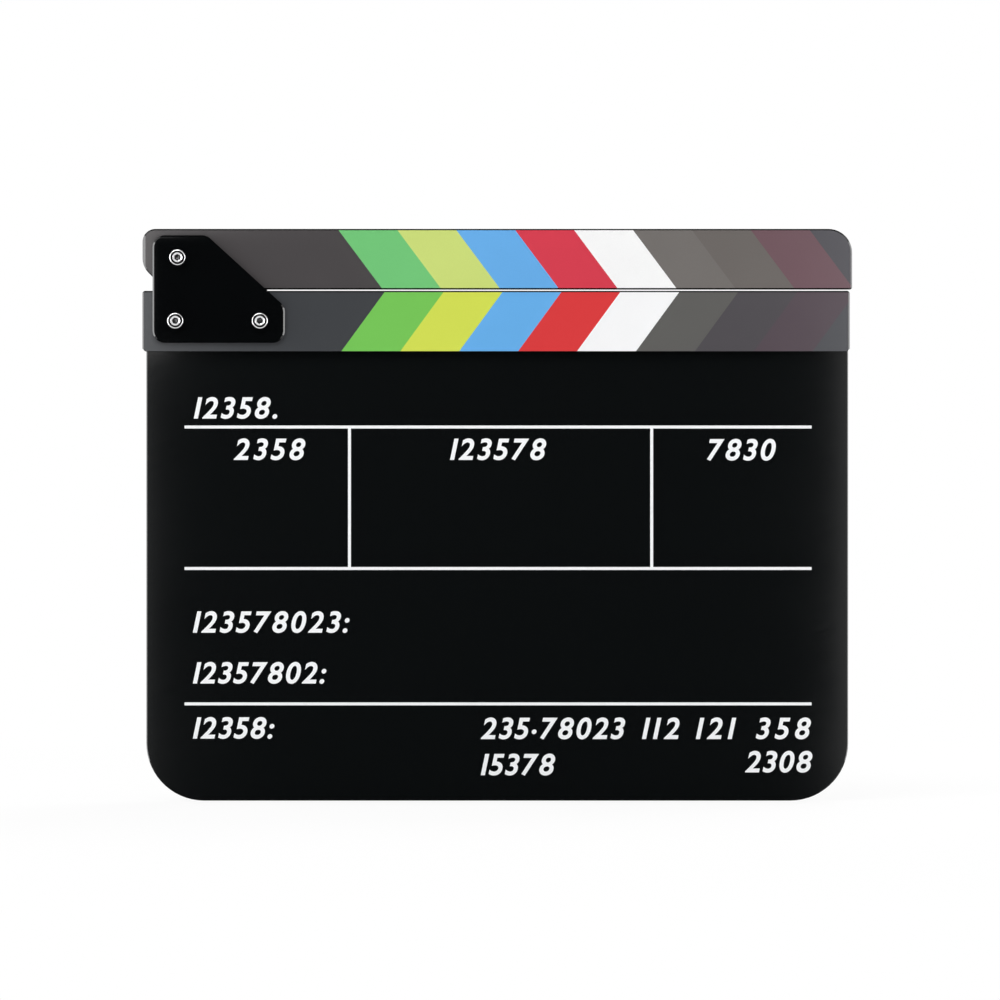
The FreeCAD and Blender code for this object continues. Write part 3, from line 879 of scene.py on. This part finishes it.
@dataclass
class WritingBoard:
    """The board with its printed rules, numerals and bonding tape."""

    cap_height: float = 8.75 * MM
    cap_share: float = 0.7
    dot_rise: float = 2.2 * MM
    ink_depth: float = 0.1 * MM
    merge: float = 0.002 * MM
    lean: float = 0.21
    weight: float = 0.02
    acrylic: GlossAcrylic = GlossAcrylic("Board acrylic", (0.004, 0.0048, 0.0051), 0.06)
    lines: tuple[Numeral, ...] = (
        Numeral("12358.", -128.4, 161.9, 35.2),
        Numeral("2358", -111.5, 144.4, 30.2),
        Numeral("123578", -20.0, 144.4, 40.6),
        Numeral("7830", 88.7, 144.2, 30.2),
        Numeral("123578023:", -128.8, 71.3, 66.2),
        Numeral("12357802:", -128.8, 49.8, 56.4),
        Numeral("12358:", -128.8, 26.5, 34.4),
        Numeral("235\u00b778023", -7.0, 26.3, 61.0),
        Numeral("112", 61.2, 26.3, 15.8),
        Numeral("121", 84.0, 26.3, 17.0),
        Numeral("358", 109.4, 26.3, 23.4),
        Numeral("15378", -7.0, 11.0, 31.4),
        Numeral("2308", 104.8, 12.2, 28.4),
    )

    def glyph(self, sign: str) -> bmesh.types.BMesh:
        """One printed sign, at its printed size, with its left end and its baseline at the origin.

        Args:
            sign: The sign.

        Returns:
            Its mesh, facing the front.
        """
        raised = sign == RAISED_DOT
        font = bpy.data.curves.new("numeral", "FONT")
        font.body = "." if raised else sign
        font.shear = self.lean
        font.offset = self.weight
        font.extrude = 1.0
        writer = put_in_scene("numeral", font)
        mesh = plain_mesh(writer)
        bpy.data.objects.remove(writer)
        bpy.data.curves.remove(font)
        size = self.cap_height / self.cap_share
        sized = Matrix.Diagonal((size, size, self.ink_depth / 2.0, 1.0))
        mesh.transform(Matrix.Rotation(math.pi / 2.0, 4, "X") @ sized)
        left = min(vertex.co.x for vertex in mesh.vertices)
        rise = self.dot_rise if raised else 0.0
        mesh.transform(Matrix.Translation((-left, -self.ink_depth / 2.0, rise)))
        shape = bmesh.new()
        shape.from_mesh(mesh)
        bpy.data.meshes.remove(mesh)
        return shape

    def set_line(self, line: Numeral, page: bpy.types.Mesh, joined: bmesh.types.BMesh) -> None:
        """Set one line, with equal gaps between its signs along their lean.

        Args:
            line: The line.
            page: A scratch mesh.
            joined: Where its signs are added.
        """
        shapes = [self.glyph(sign) for sign in line.text]
        upright = [[vert.co.x - self.lean * vert.co.z for vert in shape.verts] for shape in shapes]
        starts = [min(places) for places in upright]
        widths = [max(places) - start for places, start in zip(upright, starts)]
        last = max(vert.co.x for vert in shapes[-1].verts) - starts[-1]
        gap = (line.width * MM + starts[0] - sum(widths[:-1]) - last) / (len(shapes) - 1)
        place = Vector((line.left * MM + starts[0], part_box("writing_board")[0].y, line.baseline * MM))
        for shape, start, width in zip(shapes, starts, widths):
            bmesh.ops.translate(shape, verts=shape.verts, vec=place - Vector((start, 0.0, 0.0)))
            shape.to_mesh(page)
            shape.free()
            joined.from_mesh(page)
            place.x += width + gap

    def numerals(self) -> bpy.types.Object:
        """All printed lines as one piece.

        Returns:
            The piece.
        """
        joined = bmesh.new()
        page = bpy.data.meshes.new("page")
        for line in self.lines:
            self.set_line(line, page, joined)
        bpy.data.meshes.remove(page)
        bmesh.ops.remove_doubles(joined, verts=joined.verts, dist=self.merge)
        bmesh.ops.recalc_face_normals(joined, faces=joined.faces)
        mesh = bpy.data.meshes.new("printed_numerals")
        joined.to_mesh(mesh)
        joined.free()
        mesh.materials.append(INK.material())
        return put_in_scene("printed_numerals", mesh)

    def build(self) -> None:
        """Dress the board and print its numerals."""
        self.acrylic.dress("writing_board")
        INK.dress("printed_rules")
        FoamTape("Foam tape").dress("lower_tape_front", "lower_tape_rear")
        add_piece(self.numerals())


@dataclass
class ClapSticks:
    """The fixed lower stick and the hinged upper stick, with the colours of their printed films."""

    acrylic: GlossAcrylic = GlossAcrylic("Stick acrylic", (0.004, 0.004, 0.0043), 0.12, hair_turn=0.0)
    strips: tuple[str, ...] = (
        "lower_stick_front", "lower_stick_rear", "upper_stick_core", "upper_stick_front", "upper_stick_rear",
    )
    upper: dict[Band, Colour] = field(default_factory=lambda: {
        Band.CHARCOAL: print_colour(77, 74, 75),
        Band.GREEN: print_colour(116, 200, 123),
        Band.YELLOW: print_colour(206, 223, 124),
        Band.BLUE: print_colour(107, 177, 237),
        Band.RED: print_colour(218, 66, 83),
        Band.WHITE: print_colour(253, 253, 253),
        Band.PALE_GREY: print_colour(118, 114, 111),
        Band.MID_GREY: print_colour(111, 106, 103),
        Band.PLUM_GREY: print_colour(114, 88, 95),
        Band.SLATE_GREY: print_colour(86, 85, 90),
    })
    lower: dict[Band, Colour] = field(default_factory=lambda: {
        Band.CHARCOAL: print_colour(67, 69, 72),
        Band.GREEN: print_colour(120, 200, 90),
        Band.YELLOW: print_colour(214, 226, 87),
        Band.BLUE: print_colour(106, 178, 238),
        Band.RED: print_colour(222, 63, 65),
        Band.WHITE: print_colour(252, 252, 253),
        Band.PALE_GREY: print_colour(98, 97, 95),
        Band.MID_GREY: print_colour(82, 79, 83),
        Band.PLUM_GREY: print_colour(88, 77, 84),
        Band.SLATE_GREY: print_colour(82, 83, 87),
    })

    def build(self) -> None:
        """Dress the strips and the films of both sticks."""
        self.acrylic.dress(*self.strips)
        for stick, colours in (("upper", self.upper), ("lower", self.lower)):
            for band, colour in colours.items():
                words = band.value.replace("_", " ")
                PrintedFilm(f"Film {stick} {words}", colour).dress(f"{stick}_band_{band.value}")


@dataclass
class Hinge:
    """The hinge plates with the screws, washers and nuts that clamp them, and the pivot's bearing parts.

    Fields that end in share are shares of the size that they are used with.
    """

    head: float = 6.8 * MM
    head_height: float = 2.8 * MM
    head_edge: float = 0.55 * MM
    head_foot_share: float = 0.5
    head_round: tuple[Step, ...] = ((1.0, 0.0), (0.6, 0.1), (0.3, 0.3), (0.1, 0.6), (0.0, 1.0))
    knurl: float = 0.05 * MM
    knurl_top_share: float = 1.6
    knurl_fade_share: float = 1.4
    shank: float = 4.0 * MM
    length: float = 20.0 * MM
    tip: float = 0.5 * MM
    tip_rise_share: float = 0.6
    pitch: float = 0.7 * MM
    ridge_share: float = 0.36
    ridge_sunk_share: float = 0.9
    thread_start_share: float = 0.6
    thread_short_share: float = 2.5
    socket: float = 2.5 * MM
    socket_depth: float = 1.5 * MM
    # Shares of painted shade at the socket floor, at the drill's edge and at its point.
    socket_painted_shade: float = 1.0
    drill: float = 1.5 * MM
    drill_cone_share: float = 0.3
    drill_point_share: float = 0.1
    drill_painted_shade: float = 0.9
    drill_edge_painted_shade: float = 0.7
    mouth: float = 4.1 * MM
    mouth_depth: float = 0.45 * MM
    edge_break: float = 0.03 * MM
    washer: float = 9.0 * MM
    washer_bore: float = 4.3 * MM
    washer_edge: float = 0.2 * MM
    washer_round_share: float = 0.3
    nut: float = 7.0 * MM
    nut_height: float = 3.2 * MM
    nut_lead: float = 0.35 * MM
    collar: float = 6.2 * MM
    collar_height: float = 1.6 * MM
    collar_lip: float = 5.0 * MM
    collar_roll: float = 0.6 * MM
    collar_round: tuple[Step, ...] = ((1.0, 0.0), (0.45, 0.18), (0.12, 0.55), (0.0, 1.0))
    lip_round_share: float = 0.2
    lip_drop_share: float = 0.4
    collar_floor_share: float = 0.2
    ring_lift: float = 0.15 * MM
    ring_drop: float = 0.25 * MM
    ring_edge: float = 0.15 * MM
    spins: tuple[float, ...] = (math.radians(90.0), math.radians(12.0), math.radians(41.0))
    acrylic: GlossAcrylic = GlossAcrylic("Plate acrylic", (0.0022, 0.0026, 0.0029), 0.06)

    def places(self, depth: float) -> list[Vector]:
        """Screw axes at one depth: the pivot, then the two plate screws.

        Args:
            depth: The places' Y.

        Returns:
            The three places.
        """
        pivot = frame["record"]["behaviour"]["joints"][0]["pos_m"]
        low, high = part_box("plate_screws")
        level = (low.z + high.z) / 2.0
        return [
            Vector((pivot[0], depth, pivot[2])),
            Vector((low.x + self.head / 2.0, depth, level)),
            Vector((high.x - self.head / 2.0, depth, level)),
        ]

    @staticmethod
    def rounded(top: Wire, rim: Wire, edge: Wire, shares: Sequence[Step]) -> list[Ring]:
        """Rings of a rounded edge, by how far down and how far in each is as shares of the edge."""
        return [Ring(top - edge * down, rim - edge * inward) for down, inward in shares]

    def screws(self) -> bpy.types.Object:
        """The three socket head screws, with knurled heads and rolled threads.

        Returns:
            The piece.
        """
        tree = FastenerTree("Socket head screw", {
            "Head diameter": self.head, "Head height": self.head_height, "Head edge": self.head_edge,
            "Shank diameter": self.shank, "Length": self.length, "Tip chamfer": self.tip,
            "Thread pitch": self.pitch, "Socket width": self.socket, "Socket depth": self.socket_depth,
            "Mouth diameter": self.mouth, "Mouth depth": self.mouth_depth, "Knurl depth": self.knurl,
            "Drill diameter": self.drill, "Edge break": self.edge_break,
        })
        head = tree.half("Head diameter")
        top = tree.size("Head height")
        edge = tree.size("Head edge")
        foot = edge * self.head_foot_share
        pitch = tree.size("Thread pitch")
        ridge = pitch * self.ridge_share
        core = tree.half("Shank diameter") - ridge * self.ridge_sunk_share
        end = -tree.size("Length")
        tip = tree.size("Tip chamfer")
        mouth = tree.half("Mouth diameter")
        flat = tree.half("Socket width")
        floor = top - tree.size("Socket depth")
        throat = top - tree.size("Mouth depth")
        drill = tree.half("Drill diameter")
        hold = tree.size("Edge break")
        rings = [
            Ring(end, core - tip),
            Ring(end + tip * self.tip_rise_share, core),
            Ring(0.0, core),
            Ring(0.0, head - foot),
            Ring(foot, head, knurl=1.0),
            Ring(top - edge * self.knurl_top_share, head, knurl=1.0),
            Ring(top - edge * self.knurl_fade_share, head),
            *self.rounded(top, head, edge, self.head_round),
            Ring(top, head - edge - hold),
            Ring(top, mouth + hold),
            Ring(top, mouth),
            Ring(top - hold, mouth - hold),
            Ring(throat, flat, hexagon=1.0),
            # From the socket floor down, the rings carry painted shade, which darkens the socket and the drill
            # point.
            Ring(floor, flat, hexagon=1.0, soil=self.socket_painted_shade),
            Ring(floor, drill + hold, soil=self.drill_painted_shade),
            Ring(floor, drill, soil=self.drill_edge_painted_shade),
            Ring(floor - drill * self.drill_cone_share, drill * self.drill_point_share, soil=self.drill_painted_shade),
        ]
        body = tree.turn(rings, closed=False, knurl_depth=tree.size("Knurl depth"))
        run = tree.size("Length") - pitch * self.thread_short_share
        thread = tree.thread(core, ridge, pitch, run, end + pitch * self.thread_start_share)
        tree.close(body, thread)
        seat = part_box("hinge_plate_front")[0].y
        return tree.make("socket_screws", self.places(seat), self.spins, STEEL_BRIGHT)

    def washers(self) -> bpy.types.Object:
        """The three stamped washers under the nuts, with one rolled and one sharp edge.

        Returns:
            The piece.
        """
        low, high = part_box("nut_washers")
        tree = FastenerTree("Stamped washer", {
            "Diameter": self.washer, "Bore": self.washer_bore,
            "Thickness": high.y - low.y, "Edge": self.washer_edge,
        })
        rim = tree.half("Diameter")
        bore = tree.half("Bore")
        thick = tree.size("Thickness")
        edge = tree.size("Edge")
        bend = edge * self.washer_round_share
        rings = [
            Ring(edge, bore), Ring(bend, bore + bend), Ring(0.0, bore + edge), Ring(0.0, rim - edge),
            Ring(bend, rim - bend), Ring(edge, rim), Ring(thick, rim), Ring(thick, bore), Ring(edge, bore),
        ]
        tree.close(tree.turn(rings, closed=True))
        return tree.make("stamped_washers", self.places(high.y), (0.0, 0.0, 0.0), STEEL_ZINC)

    def nut_rings(self, tree: FastenerTree) -> list[Ring]:
        """Outline of a hexagon nut up to its top face, from the bore's lower lead.

        Args:
            tree: The tree whose sizes it takes.

        Returns:
            The rings.
        """
        bore = tree.half("Bore")
        flat = tree.half("Width across flats")
        tall = tree.size("Height")
        lead = tree.size("Lead")
        return [
            Ring(lead, bore),
            Ring(0.0, bore + lead),
            Ring(0.0, flat * FastenerTree.CONE_SHARE),
            Ring(0.0, flat, hexagon=1.0, cone=-1.0),
            Ring(tall, flat, hexagon=1.0, cone=1.0),
            Ring(tall, flat * FastenerTree.CONE_SHARE),
        ]

    def nut_tree(self, name: str, **more: float) -> FastenerTree:
        """Tree with the sizes that both kinds of nut share, and any others by name."""
        shared = {"Width across flats": self.nut, "Height": self.nut_height, "Bore": self.shank}
        return FastenerTree(name, {**shared, "Lead": self.nut_lead, **more})

    def plain_nuts(self) -> bpy.types.Object:
        """The two hexagon nuts of the plate screws.

        Returns:
            The piece.
        """
        tree = self.nut_tree("Hexagon nut")
        bore = tree.half("Bore")
        tall = tree.size("Height")
        lead = tree.size("Lead")
        rings = self.nut_rings(tree)
        rings += [Ring(tall, bore + lead), Ring(tall - lead, bore), rings[0]]
        tree.close(tree.turn(rings, closed=True))
        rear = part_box("plate_nuts")[1].y
        return tree.make("hexagon_nuts", self.places(rear)[1:], (0.0, 0.0), STEEL_ZINC)

    def lock_nut(self) -> bpy.types.Object:
        """The pivot's lock nut, whose collar is rolled over its nylon ring.

        Returns:
            The piece.
        """
        tree = self.nut_tree(
            "Lock nut", Collar=self.collar, Rise=self.collar_height, Lip=self.collar_lip, Roll=self.collar_roll
        )
        bore = tree.half("Bore")
        tall = tree.size("Height")
        rim = tree.half("Collar")
        top = tall + tree.size("Rise")
        roll = tree.size("Roll")
        lip = tree.half("Lip")
        floor = tall + roll * self.collar_floor_share
        rings = self.nut_rings(tree)
        rings += [
            Ring(tall, rim),
            *self.rounded(top, rim, roll, self.collar_round),
            Ring(top, lip + roll * self.lip_round_share),
            Ring(top - roll * self.lip_drop_share, lip),
            Ring(floor, lip),
            Ring(floor, bore),
            rings[0],
        ]
        # The nut is turned end for end, so that its collar faces the rear: heights run down from its seat.
        flipped = [replace(ring, height=0.0 - ring.height, cone=-ring.cone) for ring in reversed(rings)]
        tree.close(tree.turn(flipped, closed=True))
        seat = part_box("pivot_lock_nut")[0].y
        return tree.make("lock_nut", self.places(seat)[:1], (0.0,), STEEL_ZINC)

    def lock_ring(self) -> bpy.types.Object:
        """The nylon ring in the lock nut's collar.

        Returns:
            The piece.
        """
        tree = FastenerTree("Lock ring", {
            "Diameter": self.collar_lip, "Bore": self.shank, "Start": self.nut_height + self.ring_lift,
            "End": self.nut_height + self.collar_height - self.ring_drop, "Edge": self.ring_edge,
        })
        edge = tree.size("Edge")
        rim = tree.half("Diameter")
        bore = tree.half("Bore") - edge
        start = -tree.size("Start")
        stop = -tree.size("End")
        rings = [
            Ring(stop + edge, bore), Ring(stop, bore + edge), Ring(stop, rim),
            Ring(start, rim), Ring(start, bore), Ring(stop + edge, bore),
        ]
        tree.close(tree.turn(rings, closed=True))
        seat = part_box("pivot_lock_nut")[0].y
        return tree.make("lock_ring", self.places(seat)[:1], (0.0,), NYLON_BLUE)

    def build(self) -> None:
        """Dress the plates and bearing parts, and stand the fasteners."""
        self.acrylic.dress("hinge_plate_front", "hinge_plate_rear")
        TurnedBrass("Turned brass").dress("pivot_sleeve")
        NYLON_NATURAL.dress("glide_washers")
        add_piece(self.screws(), ("pivot_screw", "plate_screws"))
        add_piece(self.washers(), ("nut_washers",))
        add_piece(self.plain_nuts(), ("plate_nuts",))
        add_piece(self.lock_nut(), ("pivot_lock_nut",))
        add_piece(self.lock_ring())


@dataclass(frozen=True)
class Softbox:
    """A rectangular lamp: its place, what it faces, its breadth, its height and its power in watts."""

    name: str
    place: Place
    facing: Place
    breadth: float
    height: float
    watts: float


@dataclass
class Studio:
    """White studio: a camera square to the board, softboxes, white paper, and cards for the gloss to mirror.

    Upright cards are given by left, right, bottom and top, and level ones by left, right, front and back.
    """

    lens: float = 250.0
    sensor: float = 36.0
    frame_width: float = 423.1 * MM
    aim: Place = (1.16 * MM, -1.5 * MM, 127.2 * MM)
    fill: float = 0.4
    floor_half: float = 6.0
    floor_drop: float = 0.2 * MM
    front_card: Sides = (-0.241, 0.232, -0.4, 0.5)
    front_card_reach: float = 1.75
    front_card_step: float = 0.016
    front_card_bend: float = 0.228
    plate_card: Sides = (-0.1497, -0.07, 0.196, 0.2411)
    plate_card_reach: float = 0.085
    floor_card: Sides = (-0.45, 0.2, -0.026, 0.012)
    floor_card_depth: float = 0.1
    ceiling_card: Sides = (-0.45, 0.7, -0.12, 0.12)
    ceiling_card_height: float = 0.9
    softboxes: tuple[Softbox, ...] = (
        Softbox("left_strip", (-1.15, 0.0, 0.2), (0.0, 0.0, 0.13), 0.7, 1.1, 12.0),
        Softbox("right_strip", (1.15, 0.0, 0.2), (0.0, 0.0, 0.13), 0.7, 1.1, 12.0),
        Softbox("key", (-0.55, -1.3, 1.5), (0.0, 0.0, 0.12), 1.3, 1.0, 17.0),
        Softbox("left_front", (-0.3125, -1.76, 0.295), (-0.3125, 0.0, 0.295), 0.175, 0.135, 0.09),
        Softbox("rear_fill", (0.7, 1.4, 1.2), (0.0, 0.0, 0.12), 1.2, 1.0, 16.0),
    )

    def camera(self) -> None:
        """Stand the camera square to the board, so that its frame is the photograph's."""
        data = bpy.data.cameras.new("camera")
        data.lens = self.lens
        data.sensor_width = self.sensor
        stand = put_in_scene("camera", data)
        distance = self.frame_width * self.lens / self.sensor
        stand.location = Vector(self.aim) - Vector((0.0, distance, 0.0))
        stand.rotation_euler = (math.pi / 2.0, 0.0, 0.0)
        bpy.context.scene.camera = stand

    def world(self) -> None:
        """White surroundings that give an even fill light."""
        world = bpy.data.worlds.new("studio")
        bpy.context.scene.world = world
        world.use_nodes = True
        world.node_tree.nodes.clear()
        sheet = Sheet(world.node_tree)
        fill = sheet.node("ShaderNodeBackground", {}, {"Color": WHITE, "Strength": self.fill}).wire(0)
        white = sheet.node("ShaderNodeBackground", {}, {"Color": WHITE, "Strength": 1.0}).wire(0)
        mixed = sheet.node("ShaderNodeMixShader", {}, {0: sheet.looked_at(), 1: fill, 2: white}).wire(0)
        sheet.node("ShaderNodeOutputWorld", {}, {"Surface": mixed})

    def lamp(self, box: Softbox) -> None:
        """Hang one softbox.

        Args:
            box: The softbox.
        """
        data = bpy.data.lights.new(box.name, "AREA")
        data.shape = "RECTANGLE"
        data.size = box.breadth
        data.size_y = box.height
        data.energy = box.watts
        stand = put_in_scene(box.name, data)
        stand.location = box.place
        stand.rotation_mode = "QUATERNION"
        stand.rotation_quaternion = (Vector(box.facing) - Vector(box.place)).to_track_quat("-Z", "Y")
        stand.visible_camera = False

    def panel(self, name: str, corners: Sequence[Place], finish: Finish) -> bpy.types.Object:
        """Flat piece of the studio.

        Args:
            name: Its name.
            corners: Its corners, in order.
            finish: Its finish.

        Returns:
            The panel.
        """
        mesh = bpy.data.meshes.new(name)
        mesh.from_pydata(list(corners), [], [tuple(range(len(corners)))])
        mesh.materials.append(finish.material())
        made = put_in_scene(name, mesh)
        return made

    def card(self, name: str, corners: Sequence[Place]) -> None:
        """Black card that only gloss surfaces see.

        Args:
            name: Its name.
            corners: Its corners, in order.
        """
        made = self.panel(name, corners, BlackCard("Black card"))
        made.visible_camera = False
        made.visible_diffuse = False
        made.visible_transmission = False
        made.visible_volume_scatter = False
        made.visible_shadow = False

    @staticmethod
    def level(left: float, right: float, front: float, back: float, height: float) -> list[Place]:
        """Corners of a level rectangle."""
        return [(left, front, height), (right, front, height), (right, back, height), (left, back, height)]

    @staticmethod
    def upright(left: float, right: float, bottom: float, top: float, depth: float) -> list[Place]:
        """Corners of an upright rectangle."""
        return [(left, depth, bottom), (right, depth, bottom), (right, depth, top), (left, depth, top)]

    def cards(self) -> None:
        """Stand the black cards before, below and above the object."""
        left, right, bottom, top = self.front_card
        far = -self.front_card_reach
        inner = left + self.front_card_step
        bend = self.front_card_bend
        # The front card is cut back beside the sticks, so that their left ends mirror the white.
        self.card("front_card", [
            (left, far, bottom), (right, far, bottom), (right, far, top),
            (inner, far, top), (inner, far, bend), (left, far, bend),
        ])
        self.card("plate_card", self.upright(*self.plate_card, -self.plate_card_reach))
        self.card("floor_card", self.level(*self.floor_card, -self.floor_card_depth))
        self.card("ceiling_card", self.level(*self.ceiling_card, self.ceiling_card_height))

    def build(self) -> None:
        """Set the studio up."""
        bpy.context.scene.view_settings.view_transform = "Standard"
        self.camera()
        self.world()
        for box in self.softboxes:
            self.lamp(box)
        half = self.floor_half
        paper = self.level(-half, half, -half, half, -self.floor_drop)
        # Gloss mirrors the white surroundings, and the front card, past the floor.
        self.panel("floor", paper, WhiteSweep("White sweep")).visible_glossy = False
        self.cards()


def main() -> None:
    """Dress every sub-assembly and set the studio up."""
    logging.basicConfig(level=logging.INFO, format="%(message)s")
    for assembly in (WritingBoard(), ClapSticks(), Hinge(), Studio()):
        LOG.info("Building %s", type(assembly).__name__)
        assembly.build()


if __name__ == "__main__":
    main()
